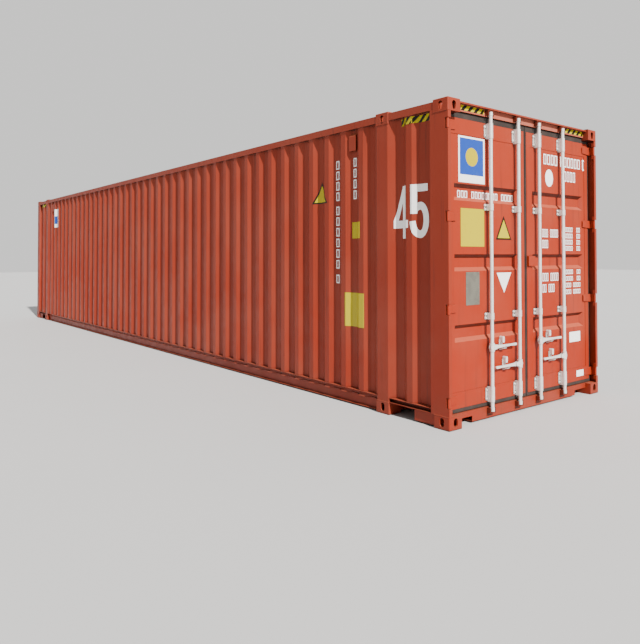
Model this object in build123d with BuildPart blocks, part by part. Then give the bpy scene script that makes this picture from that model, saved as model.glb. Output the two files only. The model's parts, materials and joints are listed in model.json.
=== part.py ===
"""A 45 foot high-cube dry shipping container with two side-hung cargo doors.

X runs along the length with the doors at +X, Y across, Z up.
The origin is the centre of the bottom of the whole container. All lengths are in millimetres.
"""
import os

from build123d import *

os.makedirs("parts", exist_ok=True)

# Overall size
container_length = 13716.0
container_width = 2438.0
container_height = 2896.0
half_length = container_length / 2
half_width = container_width / 2
overrun = 5.0

# Corner and intermediate fittings
fitting_length = 178.0
fitting_width = 162.0
fitting_height = 118.0
fitting_plate = 28.5
fitting_wall = 16.0
aperture_length = 124.5
aperture_width = 63.5
aperture_from_end = 103.5
aperture_from_side = 89.5
side_hole_width = 51.0
side_hole_height = 79.4
side_hole_rise = 65.0
shield_foot_radius = 18.0
fitting_rounding = 9.0
intermediate_span = 12192.0
half_span = intermediate_span / 2

# Steelwork shared by the walls
set_back = 4.0
post_steel = 6.0
rail_steel = 4.5
sheet_steel = 2.0
wall_set_back = 12.0
rib_depth = 36.0
rib_flat = 72.0
rib_slope = 68.0
rib_pitch = 284.0
rib_count = 41
end_rib_from_door = 493.0
top_rail_width = 60.0
top_rail_height = 70.0
top_rail_steel = 3.0
roof_seat_below_top = 20.0
bottom_rail_height = 150.0
rail_ground_gap = 16.0
top_flange = 48.0
bottom_flange = 30.0
end_rail_height = 46.0

# Heights that several pieces share
floor_top = rail_ground_gap + bottom_rail_height
roof_seat = container_height - roof_seat_below_top
wall_top = roof_seat - top_rail_height
fitting_top = fitting_height
upper_fitting_foot = container_height - fitting_height

# Planes of the side walls, measured from the centre line
frame_face = half_width - set_back
wall_face = half_width - wall_set_back
wall_inner_face = wall_face - rib_depth
rail_web_face = frame_face - top_flange
fitting_inner_face = half_width - fitting_width

# Door end
post_depth = 218.0
post_face_set_back = 2.0
post_lip = 38.0
post_box_width = 65.0
hinge_pin_inset = 20.0
hinge_pin_from_side = 19.0
pin_radius = 8.0
knuckle_radius = 13.0
pin_clearance = 0.4
blade_steel = 10.0
blade_height = 85.0
blade_tip_height = 64.0
blade_reach = 160.0
blade_gap = 5.0
lug_height = 40.0
notch_inset = 36.0
door_face_inset = 76.0
leaf_thickness = 50.0
leaf_edge_gap = 65.0
leaf_centre_gap = 44.0
leaf_top_below_roof_seat = 130.0
leaf_bottom_above_sill = 40.0
door_clearance = 6.0
header_face_inset = 62.0
header_steel = 4.0
stop_drop = 76.0
sill_height = 101.0
sill_notch_width = 212.0
sill_notch_height = 52.0

x_lip = half_length - post_face_set_back
x_door_face = half_length - door_face_inset
x_door_rear = x_door_face - leaf_thickness
x_stop = x_door_rear - door_clearance
x_header_face = half_length - header_face_inset
x_post_back = half_length - post_depth
post_face = half_width - post_face_set_back
post_inner_face = post_face - post_steel
x_pin = half_length - hinge_pin_inset
y_pin = half_width - hinge_pin_from_side
leaf_outer = half_width - leaf_edge_gap
leaf_inner = leaf_centre_gap / 2
sill_top = rail_ground_gap + sill_height
leaf_bottom = sill_top + leaf_bottom_above_sill
leaf_top = roof_seat - leaf_top_below_roof_seat
leaf_height = leaf_top - leaf_bottom
hinge_shares = (0.031, 0.342, 0.656, 0.970)
hinge_heights = [leaf_bottom + share * leaf_height for share in hinge_shares]


def block(x_low, x_high, y_low, y_high, z_low, z_high, mode=Mode.ADD):
    """Adds or cuts the block between two corners."""
    with Locations(((x_low + x_high) / 2, (y_low + y_high) / 2, (z_low + z_high) / 2)):
        Box(abs(x_high - x_low), abs(y_high - y_low), abs(z_high - z_low), mode=mode)


def upright(points, z_low, z_high, mode=Mode.ADD):
    """Extrudes an outline given in X and Y between two heights."""
    with BuildSketch(Plane.XY.offset(z_low)) as outline:
        Polygon(*points, align=None)
    extrude(outline.sketch, amount=z_high - z_low, mode=mode)


def along(points, x_low, x_high, mode=Mode.ADD):
    """Extrudes an outline given in Y and Z along the length."""
    with BuildSketch(Plane.YZ.offset(x_low)) as outline:
        Polygon(*points, align=None)
    extrude(outline.sketch, amount=x_high - x_low, mode=mode)


def across(points, y_low, y_high, mode=Mode.ADD):
    """Extrudes an outline given in X and Z across the width."""
    with BuildSketch(Plane.XZ.offset(-y_high)) as outline:
        Polygon(*points, align=None)
    extrude(outline.sketch, amount=y_high - y_low, mode=mode)


def save(piece, name):
    """Labels a finished piece and writes its file."""
    piece.part.label = name
    export_step(piece.part, f"parts/{name}.step")


def fitting_hole(inward):
    """Upright hole: a plain slot in a bottom fitting and a shield, wide above, in a top one."""
    if inward > 0:
        SlotOverall(side_hole_height, side_hole_width, rotation=90)
    else:
        head_radius = side_hole_width / 2
        with Locations((0, side_hole_height / 2 - head_radius)):
            Circle(head_radius)
        with Locations((0, shield_foot_radius - side_hole_height / 2)):
            Circle(shield_foot_radius)
        make_hull()


# Fittings: hollow castings with a slot above or below and a hole in the side and the end
def fittings(x_outer, z_face, inward, end_holes):
    """Four like fittings whose slotted faces lie at one height."""
    x_inner = x_outer - fitting_length
    z_inner = z_face + inward * fitting_height
    x_slot = x_outer - aperture_from_end
    y_slot = half_width - aperture_from_side
    z_hole = z_face + inward * side_hole_rise
    with BuildPart() as quad:
        block(x_inner, x_outer, fitting_inner_face, half_width, z_face, z_inner)
        fillet(quad.edges().sort_by_distance((x_outer, half_width, z_face))[:3], radius=fitting_rounding)
        block(x_inner + fitting_wall, x_outer - fitting_wall, fitting_inner_face + fitting_wall,
              half_width - fitting_wall, z_face + inward * fitting_plate,
              z_inner - inward * fitting_wall, mode=Mode.SUBTRACT)
        with BuildSketch(Plane.XY.offset(z_face)):
            with Locations((x_slot, y_slot)):
                SlotOverall(aperture_length, aperture_width)
        extrude(amount=inward * (fitting_plate + overrun), mode=Mode.SUBTRACT)
        with BuildSketch(Plane(((x_inner + x_outer) / 2, half_width, z_hole), (1, 0, 0), (0, -1, 0))) as hole:
            fitting_hole(inward)
        extrude(hole.sketch, amount=fitting_wall + overrun, mode=Mode.SUBTRACT)
        if end_holes:
            y_hole = (fitting_inner_face + half_width) / 2
            with BuildSketch(Plane((x_outer, y_hole, z_hole), (0, 1, 0), (1, 0, 0))) as hole:
                fitting_hole(inward)
            extrude(hole.sketch, amount=-(fitting_wall + overrun), mode=Mode.SUBTRACT)
        mirror(about=Plane.YZ)
        mirror(about=Plane.XZ)
    return quad


save(fittings(half_length, container_height, -1, True), "top_corner_fittings")
save(fittings(half_length, 0, 1, True), "bottom_corner_fittings")
save(fittings(half_span, container_height, -1, False), "top_intermediate_fittings")
save(fittings(half_span, 0, 1, False), "bottom_intermediate_fittings")

x_fitting = half_length - fitting_length
x_middle_fitting = half_span - fitting_length

# Posts
middle_post_flat = 150.0
middle_post_slope = 90.0
middle_post_foot = 20.0
x_middle_post = half_span - fitting_length / 2
post_half_flat = middle_post_flat / 2
post_half_slope = post_half_flat + middle_post_slope
post_half_foot = post_half_slope + middle_post_foot


def hat_outline(centre, side):
    """Section of an intermediate post: a wide flat hat with sloping flanks and feet on the wall."""
    outer = [(-post_half_foot, wall_inner_face), (-post_half_slope, wall_inner_face),
             (-post_half_flat, frame_face), (post_half_flat, frame_face),
             (post_half_slope, wall_inner_face), (post_half_foot, wall_inner_face)]
    inner = [(x, y - post_steel) for x, y in reversed(outer)]
    return [(centre + x, side * y) for x, y in outer + inner]


def intermediate_posts(side):
    """Both posts of one side, cut back round the fittings and the bottom rail."""
    with BuildPart() as posts:
        for centre in (-x_middle_post, x_middle_post):
            upright(hat_outline(centre, side), fitting_top, wall_top)
            for low, high in ((-post_half_foot, -fitting_length / 2), (fitting_length / 2, post_half_foot)):
                block(centre + low, centre + high, 0, side * half_width, fitting_top, floor_top,
                      mode=Mode.SUBTRACT)
            block(centre - fitting_length / 2, centre + fitting_length / 2, 0, side * half_width,
                  upper_fitting_foot, wall_top, mode=Mode.SUBTRACT)
    return posts


def door_post(side):
    """Door corner post: a hollow box, a side leg beyond it and a lip, notched at each hinge."""
    box_inner = post_inner_face - post_box_width
    with BuildPart() as post:
        upright([(x_post_back, side * post_face), (x_lip, side * post_face),
                 (x_lip, side * (post_face - post_lip)),
                 (x_lip - post_steel, side * (post_face - post_lip)),
                 (x_lip - post_steel, side * post_inner_face), (x_stop, side * post_inner_face),
                 (x_stop, side * box_inner), (x_post_back, side * box_inner)], fitting_top, wall_top)
        block(x_post_back + post_steel, x_stop - post_steel, side * (box_inner + post_steel),
              side * post_inner_face, fitting_top, wall_top, mode=Mode.SUBTRACT)
        block(x_fitting, half_length, 0, side * half_width, upper_fitting_foot, wall_top,
              mode=Mode.SUBTRACT)
        for height in hinge_heights:
            block(half_length - notch_inset, half_length, side * (post_face - post_lip),
                  side * half_width, height - blade_height / 2 - blade_gap,
                  height + blade_height / 2 + blade_gap, mode=Mode.SUBTRACT)
    return post


def hinge_lugs(side):
    """Lugs in the corner of the post above and below each hinge, bored for its pin."""
    lug_half = y_pin - (post_face - post_lip)
    with BuildPart() as lugs:
        for height in hinge_heights:
            for up in (-1, 1):
                near = height + up * (blade_height / 2 + blade_gap)
                far = near + up * lug_height
                block(x_pin - knuckle_radius, x_lip - post_steel, side * (y_pin - lug_half),
                      side * post_inner_face, near, far)
                with BuildSketch(Plane.XY.offset(min(near, far))):
                    with Locations((x_pin, side * y_pin)):
                        Circle(pin_radius + pin_clearance)
                extrude(amount=lug_height, mode=Mode.SUBTRACT)
    return lugs


with BuildPart() as front_posts:
    x_front_face = -(half_length - post_face_set_back)
    block(x_front_face, -x_fitting, fitting_inner_face, post_face, fitting_top, upper_fitting_foot)
    block(x_front_face + post_steel, -x_fitting - post_steel, fitting_inner_face + post_steel,
          post_inner_face, fitting_top, upper_fitting_foot, mode=Mode.SUBTRACT)
    mirror(about=Plane.XZ)
save(front_posts, "front_corner_posts")

# Side walls
half_main_wall = x_middle_post - post_half_foot
end_wall_start = x_middle_post + post_half_foot
rib_centres = [(index - (rib_count - 1) / 2) * rib_pitch for index in range(rib_count)]


def folded(ribs, start, end, outer, depth, flat, slope):
    """Outline of a folded sheet: its outer face from start to end, then its inner face back."""
    face = [(start, outer - depth)]
    for centre in ribs:
        face += [(centre - flat / 2 - slope, outer - depth), (centre - flat / 2, outer),
                 (centre + flat / 2, outer), (centre + flat / 2 + slope, outer - depth)]
    face.append((end, outer - depth))
    return face + [(place, height - sheet_steel) for place, height in reversed(face)]


def wall_panel(side, ribs, start, end):
    """One run of side wall standing on the bottom rail under the top rail."""
    outline = folded(ribs, start, end, wall_face, rib_depth, rib_flat, rib_slope)
    upright([(x, side * y) for x, y in outline], floor_top, wall_top)


def top_rail(side):
    """Square tube above the wall, broken by the intermediate fittings."""
    inner = frame_face - top_rail_width
    with BuildPart() as rail:
        for low, high in ((-x_fitting, -half_span), (-x_middle_fitting, x_middle_fitting),
                          (half_span, x_fitting)):
            block(low, high, side * inner, side * frame_face, wall_top, roof_seat)
            block(low, high, side * (inner + top_rail_steel), side * (frame_face - top_rail_steel),
                  wall_top + top_rail_steel, roof_seat - top_rail_steel, mode=Mode.SUBTRACT)
    return rail


gusset_length = 265.0
gusset_steel = 8.0
end_rail_foot = floor_top - end_rail_height


def channel(side, low, high, foot, lower_flange):
    """A channel with its flanges turned outwards."""
    web_inner = rail_web_face - rail_steel
    along([(side * web_inner, foot), (side * (rail_web_face + lower_flange), foot),
           (side * (rail_web_face + lower_flange), foot + rail_steel),
           (side * rail_web_face, foot + rail_steel), (side * rail_web_face, floor_top - rail_steel),
           (side * frame_face, floor_top - rail_steel), (side * frame_face, floor_top),
           (side * web_inner, floor_top)], low, high)


def bottom_rail(side):
    """Deep channel between the intermediate fittings and shallow ones with gussets at the ends."""
    gusset_face = rail_web_face + bottom_flange
    with BuildPart() as rail:
        channel(side, -x_middle_fitting, x_middle_fitting, rail_ground_gap, bottom_flange)
        for end, low, high in ((1, half_span, x_post_back), (-1, -x_fitting, -half_span)):
            channel(side, low, high, end_rail_foot, top_flange)
            across([(end * x_fitting, rail_ground_gap), (end * x_fitting, fitting_top),
                    (end * x_post_back, fitting_top), (end * x_post_back, end_rail_foot),
                    (end * (x_fitting - gusset_length), end_rail_foot),
                    (end * (x_fitting - gusset_length), rail_ground_gap)],
                   min(side * gusset_face, side * (gusset_face - gusset_steel)),
                   max(side * gusset_face, side * (gusset_face - gusset_steel)))
    return rail


for side, name in ((-1, "left"), (1, "right")):
    save(intermediate_posts(side), f"{name}_intermediate_posts")
    save(door_post(side), f"{name}_door_post")
    save(hinge_lugs(side), f"{name}_hinge_lugs")
    save(top_rail(side), f"{name}_top_side_rail")
    save(bottom_rail(side), f"{name}_bottom_side_rail")
    with BuildPart() as main_wall:
        wall_panel(side, rib_centres, -half_main_wall, half_main_wall)
    save(main_wall, f"{name}_wall_panel")
    with BuildPart() as end_walls:
        end_rib = half_length - end_rib_from_door
        wall_panel(side, [end_rib], end_wall_start, x_post_back)
        wall_panel(side, [-end_rib], -x_fitting, -end_wall_start)
    save(end_walls, f"{name}_end_wall_panels")

# Front wall
front_rib_pitch = 250.0
front_rib_count = 8
front_rib_depth = 46.0
front_rib_flat = 104.0
front_rib_slope = 21.0
front_rail_depth = 60.0
with BuildPart() as front_wall:
    front_ribs = [(index - (front_rib_count - 1) / 2) * front_rib_pitch for index in range(front_rib_count)]
    outline = folded(front_ribs, -fitting_inner_face, fitting_inner_face, half_length - set_back,
                     front_rib_depth, front_rib_flat, front_rib_slope)
    upright([(-out, place) for place, out in outline], floor_top, wall_top)
save(front_wall, "front_wall_panel")

with BuildPart() as front_rail:
    x_front_rail = -(half_length - set_back)
    block(x_front_rail, x_front_rail + front_rail_depth, -fitting_inner_face, fitting_inner_face,
          wall_top, roof_seat)
    block(x_front_rail + top_rail_steel, x_front_rail + front_rail_depth - top_rail_steel,
          -fitting_inner_face, fitting_inner_face, wall_top + top_rail_steel,
          roof_seat - top_rail_steel, mode=Mode.SUBTRACT)
save(front_rail, "front_top_rail")

# Underside
floor_thickness = 28.0
cross_member_flange = 45.0
cross_member_steel = 4.0
cross_member_pitch = 300.0
cross_member_count = 39
end_member_pitch = 200.0
end_member_count = 2
tunnel_width = 1029.0
tunnel_length = 3498.0
tunnel_height = 120.0
tunnel_steel = 4.0
beam_width = 120.0
beam_steel = 6.0
floor_foot = floor_top - floor_thickness
x_tunnel_end = -half_length + tunnel_length
half_tunnel = tunnel_width / 2
member_end = rail_web_face - rail_steel


def cross_member(x, foot, y_low, y_high):
    """Channel across the container, open towards the doors."""
    across([(x, foot), (x + cross_member_flange, foot), (x + cross_member_flange, foot + cross_member_steel),
            (x + cross_member_steel, foot + cross_member_steel),
            (x + cross_member_steel, floor_foot - cross_member_steel),
            (x + cross_member_flange, floor_foot - cross_member_steel),
            (x + cross_member_flange, floor_foot), (x, floor_foot)], y_low, y_high)


with BuildPart() as cross_members:
    tunnel_outer = half_tunnel + tunnel_steel
    for index in range(cross_member_count):
        x = (index - (cross_member_count - 1) / 2) * cross_member_pitch
        if x > x_tunnel_end:
            cross_member(x, rail_ground_gap, -member_end, member_end)
        else:
            cross_member(x, rail_ground_gap, tunnel_outer, member_end)
            cross_member(x, rail_ground_gap, -member_end, -tunnel_outer)
    for index in range(end_member_count):
        x = half_span + (index + 1) * end_member_pitch
        cross_member(x - cross_member_flange, end_rail_foot, -member_end, member_end)
        cross_member(-x, end_rail_foot, tunnel_outer, member_end)
        cross_member(-x, end_rail_foot, -member_end, -tunnel_outer)
save(cross_members, "cross_members")

with BuildPart() as tunnel_sides:
    for side in (-1, 1):
        block(-x_fitting, x_tunnel_end, side * half_tunnel, side * tunnel_outer, rail_ground_gap, floor_foot)
save(tunnel_sides, "tunnel_side_plates")

with BuildPart() as tunnel:
    block(-x_fitting, x_tunnel_end, -half_tunnel, half_tunnel, tunnel_height, tunnel_height + tunnel_steel)
    tunnel_bow_count = int(tunnel_length / cross_member_pitch)
    for index in range(tunnel_bow_count):
        x = -x_fitting + (index + 1 / 2) * cross_member_pitch
        block(x, x + cross_member_flange, -half_tunnel, half_tunnel, tunnel_height + tunnel_steel,
              floor_foot)
save(tunnel, "gooseneck_tunnel")

with BuildPart() as beams:
    for end, y_low, y_high in ((1, -fitting_inner_face, fitting_inner_face),
                               (-1, tunnel_outer, fitting_inner_face),
                               (-1, -fitting_inner_face, -tunnel_outer)):
        x_beam = end * x_middle_post
        block(x_beam - beam_width / 2, x_beam + beam_width / 2, y_low, y_high, rail_ground_gap, fitting_top)
        block(x_beam - beam_width / 2 + beam_steel, x_beam + beam_width / 2 - beam_steel, y_low, y_high,
              rail_ground_gap + beam_steel, fitting_top - beam_steel, mode=Mode.SUBTRACT)
save(beams, "intermediate_cross_beams")

with BuildPart() as floor:
    floor_half = member_end - cross_member_steel
    x_floor_front = -(half_length - set_back) + front_rail_depth
    upright([(-x_fitting, -floor_half), (x_post_back, -floor_half), (x_post_back, floor_half),
             (-x_fitting, floor_half), (-x_fitting, fitting_inner_face),
             (x_floor_front, fitting_inner_face), (x_floor_front, -fitting_inner_face),
             (-x_fitting, -fitting_inner_face)],
            floor_foot, floor_top)
save(floor, "plywood_floor")

# Front sill, broken by the tunnel
front_sill_depth = 150.0
with BuildPart() as front_sill:
    x_sill = -(half_length - set_back)
    for side in (-1, 1):
        across([(x_sill, rail_ground_gap), (x_sill + front_sill_depth, rail_ground_gap),
                (x_sill + front_sill_depth, floor_foot), (x_sill + front_rail_depth, floor_foot),
                (x_sill + front_rail_depth, floor_top), (x_sill, floor_top)],
               min(side * tunnel_outer, side * fitting_inner_face),
               max(side * tunnel_outer, side * fitting_inner_face))
        block(x_sill + rail_steel, x_sill + front_sill_depth, side * tunnel_outer,
              side * fitting_inner_face, rail_ground_gap + rail_steel, floor_foot - rail_steel,
              mode=Mode.SUBTRACT)
    block(x_sill, x_sill + front_rail_depth, -tunnel_outer, tunnel_outer, tunnel_height + tunnel_steel,
          floor_top)
save(front_sill, "front_bottom_sill")

# Door header and sill
with BuildPart() as header:
    across([(x_stop, wall_top), (x_header_face, wall_top), (x_header_face, roof_seat),
            (x_stop - post_steel, roof_seat), (x_stop - post_steel, wall_top - stop_drop),
            (x_stop, wall_top - stop_drop)], -fitting_inner_face, fitting_inner_face)
    block(x_stop, x_header_face - header_steel, -fitting_inner_face, fitting_inner_face,
          wall_top + header_steel, roof_seat - header_steel, mode=Mode.SUBTRACT)
save(header, "door_header")

post_box_inner = post_inner_face - post_box_width
with BuildPart() as sill:
    across([(x_post_back, rail_ground_gap), (x_header_face, rail_ground_gap), (x_header_face, sill_top),
            (x_stop, sill_top), (x_stop, floor_top), (x_post_back, floor_top)],
           -post_box_inner, post_box_inner)
    block(x_post_back + rail_steel, x_header_face - rail_steel, -post_box_inner, post_box_inner,
          rail_ground_gap + rail_steel, sill_top - rail_steel, mode=Mode.SUBTRACT)
    block(x_post_back + rail_steel, x_stop - rail_steel, -post_box_inner, post_box_inner,
          sill_top - rail_steel, floor_top - rail_steel, mode=Mode.SUBTRACT)
    for side in (-1, 1):
        block(x_post_back, x_header_face, side * fitting_inner_face, side * post_box_inner,
              rail_ground_gap, fitting_top, mode=Mode.SUBTRACT)
        block(x_post_back, x_header_face, side * (fitting_inner_face - sill_notch_width),
              side * fitting_inner_face, rail_ground_gap, rail_ground_gap + sill_notch_height,
              mode=Mode.SUBTRACT)
save(sill, "door_sill")

# Roof: flat sheets with pans pressed down between their edges and a gutter over the doors
roof_overlap = 30.0
pan_length = 110.0
pan_slope = 22.0
pan_depth = 20.0
pan_pitch = 209.0
pan_edge_gap = 26.0
gutter_reach = 40.0
gutter_drop = 8.0
gutter_rise = 6.0
roof_half = frame_face - top_rail_width + roof_overlap
pan_half_width = frame_face - top_rail_width - pan_edge_gap
main_pan_count = int(2 * (x_middle_fitting - pan_edge_gap) / pan_pitch)
end_pan_count = int((x_stop - post_steel - half_span - pan_edge_gap) / pan_pitch)


def frustum(length, width, slope, depth, top):
    """Pressed pan: a rectangle at the top that tapers equally on all sides to its foot."""
    with BuildPart() as pan:
        with BuildSketch(Plane.XY.offset(top)):
            Rectangle(length, width)
        with BuildSketch(Plane.XY.offset(top - depth)):
            Rectangle(length - 2 * slope, width - 2 * slope)
        loft()
    return pan.part


def press_pans(places):
    """Presses pans into the roof sheet at places along the length."""
    with Locations(*[(place, 0, 0) for place in places]):
        add(pan_form)
    with Locations(*[(place, 0, sheet_steel) for place in places]):
        add(pan_form, mode=Mode.SUBTRACT)


pan_form = frustum(pan_length, 2 * pan_half_width, pan_slope, pan_depth, roof_seat)
with BuildPart() as roof:
    block(-x_middle_fitting, x_middle_fitting, -roof_half, roof_half, roof_seat, roof_seat + sheet_steel)
    press_pans([(index - (main_pan_count - 1) / 2) * pan_pitch for index in range(main_pan_count)])
save(roof, "roof_panel")

with BuildPart() as roof_ends:
    for end, x_edge in ((1, x_header_face), (-1, -(half_length - set_back))):
        block(end * x_middle_fitting, x_edge, -fitting_inner_face, fitting_inner_face, roof_seat,
              roof_seat + sheet_steel)
        block(end * half_span, end * x_fitting, -roof_half, roof_half, roof_seat, roof_seat + sheet_steel)
        first_pan = half_span + pan_edge_gap + pan_pitch / 2
        press_pans([end * (first_pan + index * pan_pitch) for index in range(end_pan_count)])
    x_gutter = x_header_face + gutter_reach
    block(x_header_face, x_gutter, -fitting_inner_face, fitting_inner_face, roof_seat,
          roof_seat + sheet_steel)
    block(x_gutter - sheet_steel, x_gutter, -fitting_inner_face, fitting_inner_face,
          roof_seat - gutter_drop, roof_seat + sheet_steel + gutter_rise)
save(roof_ends, "roof_end_panels")

# Ventilators near the top of the side walls
vent_length = 100.0
vent_height = 190.0
vent_depth = 34.0
vent_below_rail = 30.0
vent_steel = 2.0
vent_slope = 40.0
with BuildPart() as vents:
    x_vent = rib_centres[-1] - rib_pitch / 2
    vent_front = wall_inner_face + vent_depth
    vent_top = wall_top - vent_below_rail
    trough_half = (rib_pitch - rib_flat) / 2 - rib_slope
    flare = (vent_length / 2 - trough_half) * rib_depth / rib_slope
    upright([(x_vent - trough_half, wall_inner_face), (x_vent + trough_half, wall_inner_face),
             (x_vent + vent_length / 2, wall_inner_face + flare), (x_vent + vent_length / 2, vent_front),
             (x_vent - vent_length / 2, vent_front), (x_vent - vent_length / 2, wall_inner_face + flare)],
            vent_top - vent_height, vent_top)
    along([(vent_front, vent_top - vent_slope), (vent_front, vent_top), (wall_inner_face, vent_top)],
          x_vent - vent_length / 2, x_vent + vent_length / 2, mode=Mode.SUBTRACT)
    block(x_vent - trough_half + vent_steel, x_vent + trough_half - vent_steel, wall_inner_face,
          vent_front - vent_steel, vent_top - vent_height, vent_top - vent_slope, mode=Mode.SUBTRACT)
    mirror(about=Plane.XZ)
    mirror(about=Plane.YZ)
save(vents, "wall_vents")

# Lock rods and their keepers
rod_radius = 17.0
rod_stand_off = 48.0
rod_spread = 598.0
rod_inner = 172.0
rod_end_overlap = 40.0
cam_height = 34.0
cam_radius = 21.0
cam_nose = 25.0
cam_nose_width = 24.0
bore_clearance = 0.3
keeper_steel = 8.0
keeper_plate = 6.0
keeper_foot = 28.0
keeper_gap = 7.0
keeper_reach = 42.0
x_rod = x_door_face + rod_stand_off
rod_places = {"outer_left": -rod_spread, "inner_left": -rod_inner, "inner_right": rod_inner,
              "outer_right": rod_spread}
rod_top = wall_top + rod_end_overlap
rod_foot = sill_top - rod_end_overlap

with BuildPart() as keepers:
    keeper_half = cam_nose + keeper_gap + keeper_steel
    for y_rod in rod_places.values():
        for up, tip, foot in ((1, rod_top, 0), (-1, rod_foot, keeper_foot)):
            bridge = tip + up * keeper_gap
            bridge_far = bridge + up * keeper_steel
            heel = tip - up * cam_height
            block(x_header_face, x_header_face + keeper_plate, y_rod - keeper_half, y_rod + keeper_half,
                  bridge, bridge_far + up * foot)
            block(x_header_face, x_header_face + keeper_reach, y_rod - keeper_half, y_rod + keeper_half,
                  heel, bridge_far)
            block(x_header_face, x_header_face + keeper_reach, y_rod - keeper_half + keeper_steel,
                  y_rod + keeper_half - keeper_steel, heel, bridge, mode=Mode.SUBTRACT)
save(keepers, "cam_keepers")

# Handles, their hubs on the rods and the retainers that hold them
upper_handle_share = 0.196
lower_handle_share = 0.121
handle_heights = {1: leaf_bottom + upper_handle_share * leaf_height,
                  -1: leaf_bottom + lower_handle_share * leaf_height}
handle_length = 371.0
handle_bar = 24.0
handle_thickness = 12.0
eye_radius = 19.0
shank_start = 118.0
shank_radius = 13.0
neck_radius = 9.0
grip_radius = 12.0
grip_length = 70.0
hub_radius = 24.0
hub_height = 76.0
ear_steel = 6.0
ear_gap = 2.0
ear_root_radius = 29.0
ear_tip_radius = 20.0
handle_pivot = 52.0
pivot_radius = 7.0
retainer_width = 46.0
retainer_steel = 6.0
retainer_rise = 60.0
retainer_drop = 44.0
retainer_place = 190.0
knob_width = 30.0
knob_rise = 86.0
directions = {"outer_left": 1, "inner_left": -1, "inner_right": 1, "outer_right": -1}


def lock_rod(name):
    """Plain tube from the lower keeper to the upper one."""
    with BuildPart() as rod:
        with BuildSketch(Plane.XY.offset(rod_foot)):
            with Locations((x_rod, rod_places[name])):
                Circle(rod_radius)
        extrude(amount=rod_top - rod_foot)
    return rod


def tapered(first, second):
    """Outline round two circles, each given as its place and radius."""
    for place, radius in (first, second):
        with Locations(place):
            Circle(radius)
    make_hull()


def rod_forgings(name):
    """A cam for each end of a rod and the forked hub that carries its handle, bored for the rod."""
    y_rod = rod_places[name]
    direction = directions[name]
    height = handle_heights[direction]
    y_pivot = y_rod + direction * handle_pivot
    ear_inner = handle_thickness / 2 + ear_gap
    with BuildPart() as forgings:
        for low in (rod_foot, rod_top - cam_height):
            with BuildSketch(Plane.XY.offset(low)):
                with Locations((x_rod, y_rod)):
                    Circle(cam_radius)
                with Locations((x_rod - cam_nose / 2, y_rod)):
                    Rectangle(cam_nose, cam_nose_width)
            extrude(amount=cam_height)
        with BuildSketch(Plane.XY.offset(height - hub_height / 2)):
            with Locations((x_rod, y_rod)):
                Circle(hub_radius)
        extrude(amount=hub_height)
        for front in (-1, 1):
            with BuildSketch(Plane.YZ.offset(x_rod + front * ear_inner)):
                tapered(((y_rod, height), ear_root_radius), ((y_pivot, height), ear_tip_radius))
            extrude(amount=front * ear_steel)
        with BuildSketch(Plane.YZ.offset(x_rod - ear_inner - ear_steel)):
            with Locations((y_pivot, height)):
                Circle(pivot_radius)
        extrude(amount=2 * (ear_inner + ear_steel))
        with BuildSketch(Plane.XY.offset(rod_foot)):
            with Locations((x_rod, y_rod)):
                Circle(rod_radius + bore_clearance)
        extrude(amount=rod_top - rod_foot, mode=Mode.SUBTRACT)
    return forgings


def handle(name):
    """Flat forging: an eye in the fork, a shank that narrows to a neck and a rounded grip."""
    y_rod = rod_places[name]
    direction = directions[name]
    height = handle_heights[direction]
    stations = [(handle_pivot, eye_radius), (shank_start, shank_radius),
                (handle_length - grip_radius - grip_length, neck_radius),
                (handle_length - grip_radius, grip_radius)]
    places = [((y_rod + direction * reach, height), radius) for reach, radius in stations]
    with BuildPart() as bar:
        for first, second in zip(places, places[1:]):
            with BuildSketch(Plane.YZ.offset(x_rod - handle_thickness / 2)):
                tapered(first, second)
            extrude(amount=handle_thickness)
        with BuildSketch(Plane.YZ.offset(x_rod - handle_thickness / 2)):
            with Locations(places[0][0]):
                Circle(pivot_radius + pin_clearance)
        extrude(amount=handle_thickness, mode=Mode.SUBTRACT)
    return bar


for name in rod_places:
    save(lock_rod(name), f"{name}_lock_rod")
    save(rod_forgings(name), f"{name}_rod_forgings")
    save(handle(name), f"{name}_handle")

# Door leaves
stile_width = 60.0
rail_height = 143.0
panel_set_back = 4.0
x_panel_face = x_door_face - panel_set_back
leaf_steel = 3.0
recess_height = 152.0
recess_slope = 34.0
recess_depth = 34.0
recess_side_gap = 40.0
recess_shares = (0.255, 0.499, 0.744)
gasket_lip = 8.0
gasket_body = 10.0
gasket_set_back = 4.0
gasket_side_lip = 22.0
gasket_centre_gap = 8.0
bracket_steel = 6.0
bracket_width = 84.0
bracket_radius = 22.0
rod_clearance = 1.0
guide_height = 60.0
bearing_height = 140.0
bearing_plate_height = 115.0
bracket_shares = (0.029, 0.307, 0.697, 0.971)
lock_plate_width = 112.0
lock_plate_height = 100.0
lock_plate_steel = 20.0
lock_plate_share = 0.502
lock_plate_inset = 4.0


def door_frame(side):
    """Two hollow stiles over the full height with channel rails between them."""
    with BuildPart() as frame:
        for low, high in ((leaf_inner, leaf_inner + stile_width), (leaf_outer - stile_width, leaf_outer)):
            block(x_door_rear, x_door_face, side * low, side * high, leaf_bottom, leaf_top)
            block(x_door_rear + leaf_steel, x_door_face - leaf_steel, side * (low + leaf_steel),
                  side * (high - leaf_steel), leaf_bottom, leaf_top, mode=Mode.SUBTRACT)
        low = leaf_inner + stile_width
        high = leaf_outer - stile_width
        for edge, up in ((leaf_bottom, 1), (leaf_top, -1)):
            block(x_door_rear, x_door_face, side * low, side * high, edge, edge + up * rail_height)
            block(x_door_rear + leaf_steel, x_door_face - leaf_steel, side * low, side * high,
                  edge + up * leaf_steel, edge + up * rail_height, mode=Mode.SUBTRACT)
    return frame


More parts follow.
